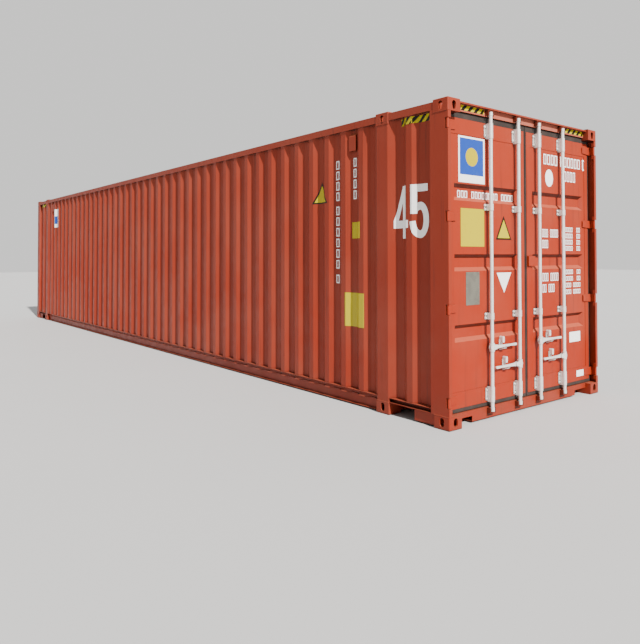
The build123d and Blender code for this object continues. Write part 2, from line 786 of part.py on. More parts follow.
def door_panel(side):
    """Steel sheet between the frame members with three bands pressed inwards."""
    low = leaf_inner + stile_width
    high = leaf_outer - stile_width
    recess_width = high - low - 2 * recess_side_gap
    centre = (low + high) / 2
    with BuildPart() as recess:
        with BuildSketch(Plane.YZ):
            Rectangle(recess_width, recess_height)
        with BuildSketch(Plane.YZ.offset(-recess_depth)):
            Rectangle(recess_width - 2 * recess_slope, recess_height - 2 * recess_slope)
        loft()
    heights = [leaf_bottom + share * leaf_height for share in recess_shares]
    with BuildPart() as panel:
        block(x_panel_face - sheet_steel, x_panel_face, side * low, side * high, leaf_bottom + rail_height,
              leaf_top - rail_height)
        with Locations(*[(x_panel_face - sheet_steel, side * centre, height) for height in heights]):
            add(recess.part)
        with Locations(*[(x_panel_face, side * centre, height) for height in heights]):
            add(recess.part, mode=Mode.SUBTRACT)
    return panel


def door_gasket(side):
    """Rubber round the leaf: a body on the edge and a wide lip, cut back at the fittings."""
    lip_outer = leaf_outer + gasket_side_lip
    lip_inner = gasket_centre_gap / 2
    lip_top = wall_top - door_clearance
    lip_shoulder = upper_fitting_foot - door_clearance
    lip_bottom = sill_top + door_clearance
    notch = fitting_inner_face - door_clearance
    x_front = x_door_face - gasket_set_back
    with BuildPart() as gasket:
        with BuildSketch(Plane.YZ.offset(x_front - gasket_lip)):
            Polygon((side * lip_inner, lip_bottom), (side * lip_outer, lip_bottom),
                    (side * lip_outer, lip_shoulder), (side * notch, lip_shoulder),
                    (side * notch, lip_top), (side * lip_inner, lip_top), align=None)
        extrude(amount=gasket_lip)
        block(x_door_rear + gasket_set_back, x_front, side * (leaf_inner - gasket_body),
              side * (leaf_outer + gasket_body), leaf_bottom - gasket_body, leaf_top + gasket_body)
        block(x_door_rear, x_door_face, side * leaf_inner, side * leaf_outer, leaf_bottom, leaf_top,
              mode=Mode.SUBTRACT)
    return gasket


def door_hinges(side):
    """L-shaped blades that narrow on the leaf, with a knuckle and pin in the notches of the post."""
    foot_end = y_pin + blade_steel / 2
    narrowing = (blade_height - blade_tip_height) / 2
    with BuildPart() as hinges:
        for height in hinge_heights:
            low = height - blade_height / 2
            with BuildSketch(Plane.XY.offset(low)):
                Polygon((x_door_face, side * (foot_end - blade_reach)), (x_door_face, side * foot_end),
                        (x_pin, side * foot_end), (x_pin, side * (foot_end - blade_steel)),
                        (x_door_face + blade_steel, side * (foot_end - blade_steel)),
                        (x_door_face + blade_steel, side * (foot_end - blade_reach)), align=None)
                with Locations((x_pin, side * y_pin)):
                    Circle(knuckle_radius)
            extrude(amount=blade_height)
            for up in (-1, 1):
                edge = height + up * blade_height / 2
                along([(side * (post_face - post_lip), edge), (side * (foot_end - blade_reach), edge),
                       (side * (foot_end - blade_reach), edge - up * narrowing)],
                      x_door_face, x_door_face + blade_steel, mode=Mode.SUBTRACT)
            pin_reach = blade_height / 2 + blade_gap + lug_height
            with BuildSketch(Plane.XY.offset(height - pin_reach)):
                with Locations((x_pin, side * y_pin)):
                    Circle(pin_radius)
            extrude(amount=2 * pin_reach)
    return hinges


def rod_bracket(x_seat, y_rod, height, length, plate_height):
    """Strap round the rod on a plate that lies on the leaf."""
    with BuildSketch(Plane.XY.offset(height - length / 2)) as outline:
        with Locations(((x_seat + x_rod) / 2, y_rod)):
            Rectangle(x_rod - x_seat, 2 * bracket_radius)
        with Locations((x_rod, y_rod)):
            Circle(bracket_radius)
            Circle(rod_radius + rod_clearance, mode=Mode.SUBTRACT)
    extrude(outline.sketch, amount=length)
    block(x_seat, x_seat + bracket_steel, y_rod - bracket_width / 2, y_rod + bracket_width / 2,
          height - plate_height / 2, height + plate_height / 2)


def rod_brackets(side):
    """Tall bearings at both ends of the rods of a leaf and low guides between them."""
    with BuildPart() as brackets:
        for y_rod in rod_places.values():
            if side * y_rod > 0:
                for share in bracket_shares[1:-1]:
                    rod_bracket(x_panel_face, y_rod, leaf_bottom + share * leaf_height, guide_height,
                                guide_height)
                for share in (bracket_shares[0], bracket_shares[-1]):
                    rod_bracket(x_door_face, y_rod, leaf_bottom + share * leaf_height, bearing_height,
                                bearing_plate_height)
    return brackets


def handle_retainers(side):
    """Plates under the handles of a leaf, each with a seat below the bar and a knob above it."""
    with BuildPart() as retainers:
        for name, y_rod in rod_places.items():
            if side * y_rod > 0:
                direction = directions[name]
                height = handle_heights[direction]
                y_low = y_rod + direction * retainer_place - retainer_width / 2
                y_high = y_low + retainer_width
                seat = height - handle_bar / 2 - door_clearance
                knob_reach = x_rod - handle_thickness / 2 - door_clearance - x_panel_face
                knob_foot = height + handle_bar
                block(x_panel_face, x_panel_face + retainer_steel, y_low, y_high,
                      height - retainer_drop, height + retainer_rise)
                across([(x_panel_face, height - retainer_drop), (x_rod, seat - 2 * retainer_steel),
                        (x_rod + handle_thickness, seat), (x_panel_face, seat)], y_low, y_high)
                with BuildSketch(Plane.YZ.offset(x_panel_face)):
                    with Locations(((y_low + y_high) / 2, (knob_foot + height + knob_rise) / 2)):
                        SlotOverall(height + knob_rise - knob_foot, knob_width, rotation=90)
                extrude(amount=knob_reach)
    return retainers


for side, name in ((-1, "left"), (1, "right")):
    save(door_frame(side), f"{name}_door_frame")
    save(door_panel(side), f"{name}_door_panel")
    save(door_gasket(side), f"{name}_door_gasket")
    save(door_hinges(side), f"{name}_door_hinges")
    save(rod_brackets(side), f"{name}_door_rod_brackets")
    save(handle_retainers(side), f"{name}_door_handle_retainers")

with BuildPart() as lock_plate:
    lock_height = leaf_bottom + lock_plate_share * leaf_height
    lock_inner = leaf_inner + lock_plate_inset
    block(x_door_face, x_door_face + lock_plate_steel, lock_inner, lock_inner + lock_plate_width,
          lock_height - lock_plate_height / 2, lock_height + lock_plate_height / 2)
save(lock_plate, "centre_lock_plate")
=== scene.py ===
"""Finish, markings and small fittings of a long freight container, laid out as a Blender add-on.

Everything is in metres, with the doors at +X, the width along Y and +Z up.
"""
import json
import math

import bmesh
import bpy
import numpy as np
from bpy.props import FloatProperty, FloatVectorProperty, IntProperty, PointerProperty
from mathutils import Matrix, Vector


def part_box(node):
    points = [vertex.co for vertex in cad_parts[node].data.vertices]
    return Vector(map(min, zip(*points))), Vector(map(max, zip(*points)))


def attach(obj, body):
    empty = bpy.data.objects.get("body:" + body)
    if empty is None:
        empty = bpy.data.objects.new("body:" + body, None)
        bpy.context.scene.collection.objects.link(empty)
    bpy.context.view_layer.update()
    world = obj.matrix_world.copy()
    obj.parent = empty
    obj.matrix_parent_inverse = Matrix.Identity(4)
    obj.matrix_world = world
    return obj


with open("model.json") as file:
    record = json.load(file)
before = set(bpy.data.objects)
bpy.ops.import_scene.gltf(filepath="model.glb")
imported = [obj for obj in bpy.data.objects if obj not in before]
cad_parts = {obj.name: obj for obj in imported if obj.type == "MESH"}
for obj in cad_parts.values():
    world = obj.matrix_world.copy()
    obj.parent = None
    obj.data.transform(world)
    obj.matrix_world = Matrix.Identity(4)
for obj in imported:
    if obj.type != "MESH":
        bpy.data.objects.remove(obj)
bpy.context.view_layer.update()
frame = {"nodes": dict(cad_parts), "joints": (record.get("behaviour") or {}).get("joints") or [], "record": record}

bl_info = {
    "name": "Freight container finish",
    "version": (1, 0, 0),
    "blender": (4, 5, 0),
    "location": "3D View > Sidebar > Container",
    "description": "Paint, markings, bolts, seams and stage for a long freight container",
    "category": "Object",
}

MM = 0.001
SIDES = {"left": -1, "right": 1}
RODS = {joint["child"].removesuffix("_rod"): joint["pos_m"]
        for joint in frame["joints"] if joint["name"].endswith("_rod_turn")}
# Places that the CAD nodes' boxes don't give, in metres or as shares of a leaf's height
BRACKET_SHARES = (0.029, 0.307, 0.697, 0.971)
HINGE_SHARES = (0.031, 0.342, 0.656, 0.970)
BRACKET_STEEL = 0.006
BOLT_ACROSS = 0.032
BEARING_BOLT = 0.04
GUIDE_BOLT = 0.017
SEAT = 0.001
RECESS_DEPTH = 0.034
HINGE_FOOT = 1.205
BLADE_REACH = 0.160
BLADE_HALF = 0.0425
BLADE_TIP_HALF = 0.032
FITTING_LENGTH = 0.178
ROOF_PITCH = 0.209
ROOF_SEAMS = 5
# Each paint's share of rust in its chips and of painted shade darkening its corners
RUST_AND_CORNER_SHADE = {"wall": (0.5, 0.75), "door": (0.5, 0.75), "header": (0.3, 0.2), "keeper": (0.8, 0.75)}
# Dark colour of the painted shade in corners and on faces turned down
PAINTED_SHADE = "#2A120B"
# Foot of the size figures: place along the wall, height, and the gap between the two
FIGURES = (6.118, 1.674, 0.024)
# Hazard bands: start and end along the wall or the header, and the share of a stripe that is cut off
WALL_BANDS = ((6.235, 6.632), (-6.62, -6.235))
WALL_BAND_HEIGHTS = (2.732, 2.796)
HEADER_BANDS = ((-0.980, -0.655, 0.0), (0.690, 1.050, 0.5))
HEADER_BAND_HEIGHTS = (2.820, 2.867)
# Upright rows of plain open blocks on the walls: middle, width and the heads of the blocks
ROW_HEADS = [2.519 - 0.111 * i for i in range(4)]
LONG_ROW_HEADS = ROW_HEADS + [2.036 - 0.113 * i for i in range(6)] + [1.316]
WALL_ROWS = ((5.262, 0.052, LONG_ROW_HEADS), (5.547, 0.046, ROW_HEADS))
# Plain panels on the walls: start, end, foot and head
WALL_PANELS = ((5.42, 5.72, 0.792, 1.136), (5.502, 5.66, 1.692, 1.858))
FAR_PANEL = (-5.40, -5.10, 2.2, 2.62)
FAR_FIELD = (-5.38, -5.12, 2.28, 2.46)
# Rows of plain blocks on the right leaf: start, foot, count, pitch, width, height and gaps
DOOR_ROWS = [(0.326, 2.454, 4, 0.066, 0.05, 0.106, ()), (0.634, 2.454, 6, 0.066, 0.05, 0.106, ()),
             (1.062, 2.447, 1, 0.1, 0.08, 0.12, ()), (0.7, 2.302, 4, 0.0575, 0.042, 0.108, ())]
DOOR_ROWS += [(0.29, foot, count, 0.0365, 0.03, 0.082, gaps)
              for foot, count, gaps in ((1.701, 8, (3,)), (1.589, 3, ()), (1.249, 8, (3,)), (1.134, 6, (2,)))]
DOOR_ROWS += [(0.716, 1.763 - 0.0664 * level, 8, 0.0365, 0.03, 0.049, (4, 5)) for level in range(4)]
DOOR_ROWS += [(0.716, 1.313 - 0.0706 * level, 8, 0.0365, 0.03, 0.047, gaps)
              for level, gaps in enumerate(((4, 5), (4, 5), (3,), (3,)))]
# Row of plain blocks in the left leaf's upper recess
RECESS_ROW = (-0.974, 2.037, 17, 0.049, 0.038, 0.066, (3, 12))
# Data plate: middle across and up, width, height and steel
DATA_PLATE = (-0.806, 1.213, 0.190, 0.302, 0.002)
# Directions that the main light and the backdrop's light come from
KEY_FROM = (0.80, -0.13, 0.58)
BACKDROP_FROM = (-0.766, 0.643, 0.0)
# Camera at the photograph's viewing angle: its place, its axes, and the middle of the frame off its own
CAMERA_PLACE = (10.552, -5.3442, 1.5082)
CAMERA_AXES = ((0.64255, 0.76624, -0.00252), (0.01693, -0.01091, 0.99980), (0.76606, -0.64246, -0.01998))
CAMERA_SHIFT = (-0.0577, -0.1217)


def linear(code):
    """Linear colour with alpha from an sRGB hex code."""
    channels = np.array([int(code[i:i + 2], 16) / 255 for i in (1, 3, 5)])
    low = channels / 12.92
    high = ((channels + 0.055) / 1.055) ** 2.4
    return tuple(float(c) for c in np.where(channels <= 0.04045, low, high)) + (1.0,)


def add_node(tree, kind, inputs=None, **settings):
    """Adds a node, sets what it has and feeds its inputs from values or other nodes' sockets."""
    made = tree.nodes.new(kind)
    for name, value in settings.items():
        setattr(made, name, value)
    for key, value in (inputs or {}).items():
        if isinstance(value, bpy.types.NodeSocket):
            tree.links.new(value, made.inputs[key])
        else:
            made.inputs[key].default_value = value
    return made


def start_material(name, plain):
    """An empty node material, its surface shader with a plain colour, and the object's coordinates."""
    material = bpy.data.materials.new(name)
    material.use_nodes = True
    tree = material.node_tree
    tree.nodes.clear()
    shader = add_node(tree, "ShaderNodeBsdfPrincipled", {"Base Color": plain})
    add_node(tree, "ShaderNodeOutputMaterial", {"Surface": shader.outputs["BSDF"]})
    place = add_node(tree, "ShaderNodeTexCoord").outputs["Object"]
    return material, tree, shader, place


def blotches(tree, place, size_mm, stretch=(1, 1, 1), detail=3.0):
    """A pattern of blotches about size_mm across, drawn longer along each axis by its stretch."""
    scale = tuple(1 / (size_mm * MM * s) for s in stretch)
    spread = add_node(tree, "ShaderNodeMapping", {"Vector": place, "Scale": scale}).outputs[0]
    return add_node(tree, "ShaderNodeTexNoise", {"Vector": spread, "Scale": 1.0, "Detail": detail}).outputs[0]


def lay_colours(tree, shader, base, layers):
    """Lays colours over a base colour and into the shader.

    A layer is its pattern, the two values between which it comes in, its greatest share and its
    colour."""
    for pattern, low, high, most, colour in layers:
        share = add_node(tree, "ShaderNodeMapRange",
                         {"Value": pattern, "From Min": low, "From Max": high, "To Max": most},
                         interpolation_type="SMOOTHSTEP").outputs[0]
        base = add_node(tree, "ShaderNodeMix", {0: share, 6: base, 7: colour}, data_type="RGBA").outputs[2]
    tree.links.new(base, shader.inputs["Base Color"])


def vary(tree, shader, socket, pattern, low, high, first, last):
    """Takes a shader's value softly from first to last as a pattern goes from low to high."""
    spread = add_node(tree, "ShaderNodeMapRange",
                      {"Value": pattern, "From Min": low, "From Max": high, "To Min": first, "To Max": last},
                      interpolation_type="SMOOTHSTEP")
    shader.inputs[socket].default_value = (first + last) / 2
    tree.links.new(spread.outputs[0], shader.inputs[socket])


def relief(tree, shader, *heights):
    """Bumps a shader by heights, one on another: each is its pattern, strength and depth in mm."""
    under = {}
    for pattern, strength, depth_mm in heights:
        raised = add_node(tree, "ShaderNodeBump",
                          {"Height": pattern, "Strength": strength, "Distance": depth_mm * MM, **under})
        under = {"Normal": raised.outputs[0]}
    tree.links.new(raised.outputs[0], shader.inputs["Normal"])


def container_paint(name, colour, faded, rust_share, corner_shade_share):
    """Chlorinated rubber container paint, rolled and sprayed over primed steel.

    It gives a satin red oxide that has chalked in soft patches and towards the top, with faint runs of dirt
    downwards, small chips gone to rust and a little dust low down. Light and shade are painted in as well: faces
    turned up are lighter as a painted highlight, faces turned down darker as painted shade, and corners darkened
    as painted shade."""
    material, tree, shader, place = start_material(name, colour)
    patches = blotches(tree, place, 900, detail=4)
    runs = blotches(tree, place, 45, (1, 1, 26), 5)
    mottle = blotches(tree, place, 130, detail=6)
    chips = blotches(tree, place, 22, detail=8)
    height = add_node(tree, "ShaderNodeSeparateXYZ", {0: place}).outputs["Z"]
    normal = add_node(tree, "ShaderNodeNewGeometry").outputs["Normal"]
    facing = add_node(tree, "ShaderNodeSeparateXYZ", {0: normal}).outputs["Z"]
    # The share of the space within 60 mm that is open tells corners from faces, for the painted shade in corners
    free = add_node(tree, "ShaderNodeAmbientOcclusion", {"Distance": 60 * MM}, samples=6).outputs["AO"]
    dust = add_node(tree, "ShaderNodeMapRange",
                    {"Value": mottle, "From Min": 0.35, "From Max": 0.65, "To Max": 0.2},
                    interpolation_type="SMOOTHSTEP").outputs[0]
    bleached, chalked = (height, 0.5, 2.9, 0.45, faded), (patches, 0.38, 0.66, 0.6, faded)
    streaked = (runs, 0.56, 0.74, 0.32, linear("#4A2A22"))
    # Painted light and shade: faces turned up are lighter as a painted highlight, faces turned down darker as
    # painted shade
    painted_upface_light = (facing, 0.3, 0.7, 0.4, linear("#C06A50"))
    painted_underside_shade = (facing, -0.2, -0.65, 0.8, linear(PAINTED_SHADE))
    # Painted shade: corners darken where little of the space around them is open
    painted_corner_shade = (free, 0.75, 0.25, corner_shade_share, linear(PAINTED_SHADE))
    dusty = (height, 0.5, 0.02, dust, linear("#6A4636"))
    rusty = (chips, 0.735, 0.765, rust_share, linear("#4B2313"))
    lay_colours(tree, shader, colour,
                (bleached, chalked, streaked, painted_upface_light, painted_underside_shade, painted_corner_shade, dusty, rusty))
    vary(tree, shader, "Roughness", mottle, 0.3, 0.7, 0.38, 0.52)
    shader.inputs["Specular IOR Level"].default_value = 0.22
    # Buckling of the thin sheet is a few tenths of a millimetre over the span of a hand. Orange peel
    # is really 3 mm across and is drawn at 9 mm so that it shows
    buckling = (blotches(tree, place, 260, detail=1), 0.35, 3.5)
    orange_peel = (blotches(tree, place, 9, detail=2), 0.25, 0.4)
    relief(tree, shader, buckling, orange_peel)
    return material


def galvanised_steel(name):
    """Hot-dip galvanised steel: matt pale zinc with soft spangles, patches of grime, and painted shade darkening
    its corners.
    """
    pale = linear("#F0EEEA")
    material, tree, shader, place = start_material(name, pale)
    spangle = add_node(tree, "ShaderNodeTexVoronoi", {"Vector": place, "Scale": 1 / (14 * MM)})
    grime = blotches(tree, place, 60, (1, 1, 5), 5)
    free = add_node(tree, "ShaderNodeAmbientOcclusion", {"Distance": 36 * MM}, samples=6).outputs["AO"]
    tint = add_node(tree, "ShaderNodeMix", {0: spangle.outputs["Distance"], 6: pale, 7: linear("#D6D4D1")},
                    data_type="RGBA").outputs[2]
    # Painted shade: corners of the zinc darken to near black
    dull, painted_corner_shade = (grime, 0.55, 0.75, 0.3, linear("#9C9288")), (free, 0.75, 0.25, 0.95, linear("#2E2520"))
    lay_colours(tree, shader, tint, (dull, painted_corner_shade))
    vary(tree, shader, "Roughness", grime, 0.3, 0.7, 0.38, 0.55)
    shader.inputs["Metallic"].default_value = 0.35
    relief(tree, shader, (grime, 0.2, 0.6))
    return material


def seal_rubber(name):
    """Extruded EPDM rubber: matt black that road dust turns a warm grey on its faces."""
    clean = linear("#251B17")
    material, tree, shader, place = start_material(name, clean)
    dust = blotches(tree, place, 160, detail=4)
    lay_colours(tree, shader, clean, [(dust, 0.3, 0.7, 1.0, linear("#362A25"))])
    shader.inputs["Roughness"].default_value = 0.7
    relief(tree, shader, (dust, 0.3, 1.0))
    return material


def oiled_plywood(name):
    """Hardwood plywood, 28 mm thick and oiled: brown veneer with grain along the length and scuffs."""
    veneer = linear("#7C5636")
    material, tree, shader, place = start_material(name, veneer)
    grain = blotches(tree, place, 14, (30, 1, 1), 6)
    scuffs = blotches(tree, place, 300, detail=6)
    sheets = add_node(tree, "ShaderNodeTexBrick",
                      {"Vector": place, "Color1": veneer, "Color2": linear("#8F6643"),
                       "Mortar": linear("#241910"), "Scale": 1.0, "Mortar Size": 0.003,
                       "Brick Width": 2.4, "Row Height": 1.16})
    grained, worn = (grain, 0.35, 0.7, 0.5, linear("#4E331F")), (scuffs, 0.5, 0.75, 0.45, linear("#A58B6E"))
    lay_colours(tree, shader, sheets.outputs["Color"], (grained, worn))
    vary(tree, shader, "Roughness", scuffs, 0.3, 0.7, 0.45, 0.75)
    relief(tree, shader, (grain, 0.3, 1.0))
    return material


def marking_film(name, colour, worn):
    """Cast vinyl film: even colour with a low gloss, a little chalked and scuffed."""
    material, tree, shader, place = start_material(name, colour)
    scuffs = blotches(tree, place, 55, detail=7)
    lay_colours(tree, shader, colour, [(scuffs, 0.56, 0.78, 0.4, worn)])
    shader.inputs["Roughness"].default_value = 0.35
    shader.inputs["Specular IOR Level"].default_value = 0.35
    relief(tree, shader, (scuffs, 0.1, 0.6))
    return material


def etched_plate(name):
    """Stainless sheet with a brushed face: dull grey with fine lines along its width."""
    grey = linear("#716F66")
    material, tree, shader, place = start_material(name, grey)
    brush = blotches(tree, place, 3, (1, 40, 1), 4)
    stain = blotches(tree, place, 80, detail=5)
    tint = add_node(tree, "ShaderNodeMix", {0: brush, 6: grey, 7: linear("#878579")},
                    data_type="RGBA").outputs[2]
    lay_colours(tree, shader, tint, [(stain, 0.4, 0.7, 0.6, linear("#66625B"))])
    shader.inputs["Metallic"].default_value = 0.5
    shader.inputs["Roughness"].default_value = 0.45
    return material


# Meshes from grids of points
def grid_faces(rows, columns, first, ring):
    """Corner numbers of the quads of a grid, joined round its columns when it is a ring."""
    numbers = first + np.arange(rows * columns).reshape(rows, columns)
    after = np.roll(numbers, -1, axis=1) if ring else numbers[:, 1:]
    before = numbers if ring else numbers[:, :-1]
    return np.stack([before[:-1], after[:-1], after[1:], before[1:]], axis=-1).reshape(-1, 4)


def make_piece(name, grids, material, body, ring=False, thickness=0.0):
    """Joins grids, each rows by columns by 3, into one piece that rides on a body.

    Doubled points are merged, so poles and seams close, and a film gets its thickness from Solidify."""
    points = np.concatenate([g.reshape(-1, 3) for g in grids])
    firsts = np.cumsum([0] + [g.shape[0] * g.shape[1] for g in grids[:-1]])
    faces = np.concatenate([grid_faces(g.shape[0], g.shape[1], f, ring) for g, f in zip(grids, firsts)])
    mesh = bpy.data.meshes.new(name)
    mesh.from_pydata(points.tolist(), [], faces.tolist())
    work = bmesh.new()
    work.from_mesh(mesh)
    bmesh.ops.remove_doubles(work, verts=work.verts, dist=1e-6)
    bmesh.ops.recalc_face_normals(work, faces=work.faces)
    work.to_mesh(mesh)
    work.free()
    mesh.materials.append(material)
    piece = bpy.data.objects.new(name, mesh)
    bpy.context.scene.collection.objects.link(piece)
    if thickness:
        film = piece.modifiers.new("Thickness", "SOLIDIFY")
        film.thickness = thickness
        film.offset = 0.0
    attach(piece, body)
    return piece


def points_of(x, y, z):
    """Points from their places along each axis, where one number holds for all of them."""
    return np.stack(np.broadcast_arrays(x, y, z), axis=-1).astype(float)


def turned(places, axis, profile, sides):
    """Grids of like turned pieces: a profile of (radius, height) carried round an axis at each."""
    axis = np.array(axis, float)
    across = np.cross(axis, (0.0, 0.0, 1.0) if abs(axis[2]) < 0.9 else (1.0, 0.0, 0.0))
    across /= np.linalg.norm(across)
    other = np.cross(axis, across)
    turn = np.arange(sides) * 2 * np.pi / sides
    ring = np.cos(turn)[:, None] * across + np.sin(turn)[:, None] * other
    radius, height = np.array(profile, float).T
    shape = radius[:, None, None] * ring[None] + height[:, None, None] * axis
    return [np.array(place, float) + shape for place in places]


def tube(path, radius, sides=8):
    """Grid of a round bead along a path, with its section square to the path and closed ends."""
    path = np.array(path, float)
    along = np.gradient(path, axis=0)
    along /= np.linalg.norm(along, axis=1)[:, None]
    up = np.where(np.abs(along[:, 2:]) > 0.9, np.array([[1.0, 0.0, 0.0]]), np.array([[0.0, 0.0, 1.0]]))
    first = np.cross(along, up)
    first /= np.linalg.norm(first, axis=1)[:, None]
    second = np.cross(along, first)
    turn = np.arange(sides) * 2 * np.pi / sides
    ring = np.cos(turn)[None, :, None] * first[:, None] + np.sin(turn)[None, :, None] * second[:, None]
    body = path[:, None] + radius * ring
    ends = np.repeat(path[[0, -1]][:, None], sides, axis=1)
    return np.concatenate([ends[:1], body, ends[1:]])


def block_grid(low, high):
    """Closed block between two corners, as one ring of four edges carried from end to end along X."""
    x0, y0, z0 = low
    x1, y1, z1 = high
    ring = np.array([(y0, z0), (y1, z0), (y1, z1), (y0, z1)])
    middle = ring.mean(axis=0)[None].repeat(4, axis=0)
    rows = [(x0, middle), (x0, ring), (x1, ring), (x1, middle)]
    return np.stack([np.column_stack([np.full(4, x), yz]) for x, yz in rows])


class FoldedSheet:
    """Outer face of a folded wall: its outward distance at each place along its run."""

    def __init__(self, nodes, run, outward):
        """Reads the folds from CAD nodes that run along an axis and face outward along the other."""
        self.run, self.across, self.side = run, 1 - run, outward
        points = []
        for node in nodes:
            mesh = frame["nodes"][node].data
            flat = np.zeros(len(mesh.vertices) * 3, np.float32)
            mesh.vertices.foreach_get("co", flat)
            points.append(flat.reshape(-1, 3).astype(float))
        points = np.concatenate(points)
        self.places, index = np.unique(np.round(points[:, run], 4), return_inverse=True)
        self.outer = np.zeros(len(self.places))
        np.maximum.at(self.outer, index.ravel(), outward * points[:, self.across])
        self.low, self.high = points[:, 2].min(), points[:, 2].max()

    def columns(self, start, end, spacing):
        """Places from start to end with every fold of the sheet among them."""
        even = np.linspace(start, end, max(2, int(abs(end - start) / spacing) + 1))
        folds = self.places[(self.places > start) & (self.places < end)]
        return np.unique(np.concatenate([even, folds]))

    def point(self, place, z, lift):
        """Points a small lift off the sheet."""
        place = np.asarray(place, float)
        made = np.zeros(place.shape + (3,))
        made[..., self.run] = place
        made[..., self.across] = self.side * (np.interp(place, self.places, self.outer) + lift)
        made[..., 2] = z
        return made

    def patch(self, start, end, low, high, lift, spacing=0.02):
        """Film between two heights, given as numbers or as functions of the place along the wall."""
        place = self.columns(start, end, spacing)
        z_low = low(place) if callable(low) else np.full_like(place, low)
        z_high = high(place) if callable(high) else np.full_like(place, high)
        return np.stack([self.point(place, z_low, lift), self.point(place, z_high, lift)])

    def bead(self, start, end, z, radius):
        """Weld bead along the foot or head of the sheet, folding with it."""
        place = self.columns(start, end, 0.1)
        return tube(self.point(place, z, 0.0), radius)


def side_sheet(name):
    """The folded sheet of one long wall with its intermediate posts."""
    nodes = [f"{name}_wall_panel", f"{name}_end_wall_panels", f"{name}_intermediate_posts"]
    return FoldedSheet(nodes, 0, SIDES[name])


def face_patch(x, ends):
    """Flat film on a face across the length, from four ends given in Y and Z, round its edge."""
    along, up = np.array(ends, float)[[0, 1, 3, 2]].T
    return points_of(x, along, up).reshape(2, 2, 3)


def rectangle(x, y, z, width, height):
    """Flat rectangle on a face across the length, by its centre."""
    return face_patch(x, [(y - width / 2, z - height / 2), (y + width / 2, z - height / 2),
                          (y + width / 2, z + height / 2), (y - width / 2, z + height / 2)])


def triangle(x, y, z, width, height):
    """Flat triangle with its base at z and its point at z plus height, which may be negative."""
    return face_patch(x, [(y - width / 2, z), (y + width / 2, z), (y, z + height), (y, z + height)])


def disc(x, y, z, half_width, half_height=None):
    """Flat ellipse: centre + (a cos t, b sin t)."""
    turn = np.linspace(0, 2 * np.pi, 49)
    rim = points_of(x, y + half_width * np.cos(turn), z + (half_height or half_width) * np.sin(turn))
    return np.stack([np.broadcast_to((x, y, z), rim.shape), rim])


def open_block(along, up, width, height, stroke):
    """Grid of (along, up) for a rectangular ring, such as a plain nought, by its centre."""
    corner = np.array([(-1, -1), (1, -1), (1, 1), (-1, 1), (-1, -1)], float)
    outer = corner * (width / 2, height / 2)
    inner = corner * (width / 2 - stroke, height / 2 - stroke)
    return np.array((along, up)) + np.stack([outer, inner])


def block_row(x, row, stroke=0.24):
    """Row of open blocks on a face across the length, with strokes of a share of a block's width."""
    start, foot, count, pitch, width, height, gaps = row
    blocks = [open_block(start + index * pitch + width / 2, foot + height / 2, width, height,
                         stroke * width) for index in range(count) if index not in gaps]
    return [points_of(x, block[..., 0], block[..., 1]) for block in blocks]


def paint_colour(name, default, description):
    """A colour that a user can change."""
    return FloatVectorProperty(name=name, description=description, default=linear(default), size=4,
                               subtype="COLOR", min=0, max=1)


def length(name, default, description):
    """A length in metres that a user can change."""
    return FloatProperty(name=name, description=description, default=default, min=0, unit="LENGTH",
                         precision=4)


class ContainerPaintSettings(bpy.types.PropertyGroup):
    """Colours of the large surfaces."""
    wall: paint_colour("Wall paint", "#882B17", "Red oxide paint of the walls and the frame")
    wall_faded: paint_colour("Wall paint faded", "#8E3E2D", "Chalked patches of the wall paint")
    door: paint_colour("Door paint", "#92280F", "Paint of the door leaves")
    door_faded: paint_colour("Door paint faded", "#983E2A", "Chalked patches of the door paint")
    # The header's paint is lighter than the others partly because it has chalked and partly as painted light that
    # lifts the shadow of the roof's gutter
    header: paint_colour("Header paint", "#A04C39", "Paint of the door header, which has chalked most")
    header_faded: paint_colour("Header paint faded", "#AA5F4D", "Chalked patches of the header's paint")
    # The keepers' paint is darker partly for grease and wear and partly as painted shade for the shadow they sit
    # in
    keeper: paint_colour("Keeper paint", "#5E2014", "Greased and worn paint of the cam keepers")
    keeper_faded: paint_colour("Keeper paint faded", "#6B2E20", "Dry patches of the keepers' paint")


class ContainerMarkSettings(bpy.types.PropertyGroup):
    """Sizes and colours of the markings."""
    film: length("Film thickness", 0.0006, "Thickness of every film")
    lift: length("Film lift", 0.0014, "Distance from the paint to the middle of a film")
    figure_height: length("Size figure height", 0.494, "Height of the large figures on the end walls")
    figure_stroke: length("Size figure stroke", 0.068, "Width of the strokes of the large figures")
    stripe_pitch: length("Stripe pitch", 0.088, "Distance between like stripes of a hazard band")
    white: paint_colour("White film", "#FFFFFE", "White markings")
    yellow: paint_colour("Yellow film", "#B8A800", "Yellow markings")
    black: paint_colour("Black film", "#14100D", "Black stripes and borders")
    blue: paint_colour("Blue film", "#1F45A0", "Blue field of the generic panel")


class ContainerHardwareSettings(bpy.types.PropertyGroup):
    """Sizes of bolts, seams and strips."""
    bolt: length("Bolt head", 0.011, "Radius of the bolt heads on the brackets and hinges")
    rivet: length("Rivet", 0.006, "Radius of the rivets")
    seam: length("Seam bead", 0.005, "Radius of the weld beads")
    screw: length("Floor screw", 0.007, "Radius of the floor screws")
    screw_pitch: length("Floor screw pitch", 0.3, "Distance between rows of floor screws")
    screw_sides: IntProperty(name="Screw sides", description="Sides of a floor screw's head", default=8,
                             min=3)


class ContainerStageSettings(bpy.types.PropertyGroup):
    """Light, floor and camera."""
    lens: FloatProperty(name="Lens", description="Focal length of the camera", default=35.583,
                        unit="CAMERA")
    key: FloatProperty(name="Key light", description="Strength of the main light", default=9.0)
    fill: FloatProperty(name="Fill light", description="Strength of the surrounding light", default=0.5)
    backdrop: FloatProperty(name="Backdrop", description="Strength of the light behind the object",
                            default=1.1)
    floor: length("Floor size", 120.0, "Width of the floor")


def settings():
    """The scene's container settings."""
    scene = bpy.context.scene
    return scene.container_paint, scene.container_marks, scene.container_hardware, scene.container_stage


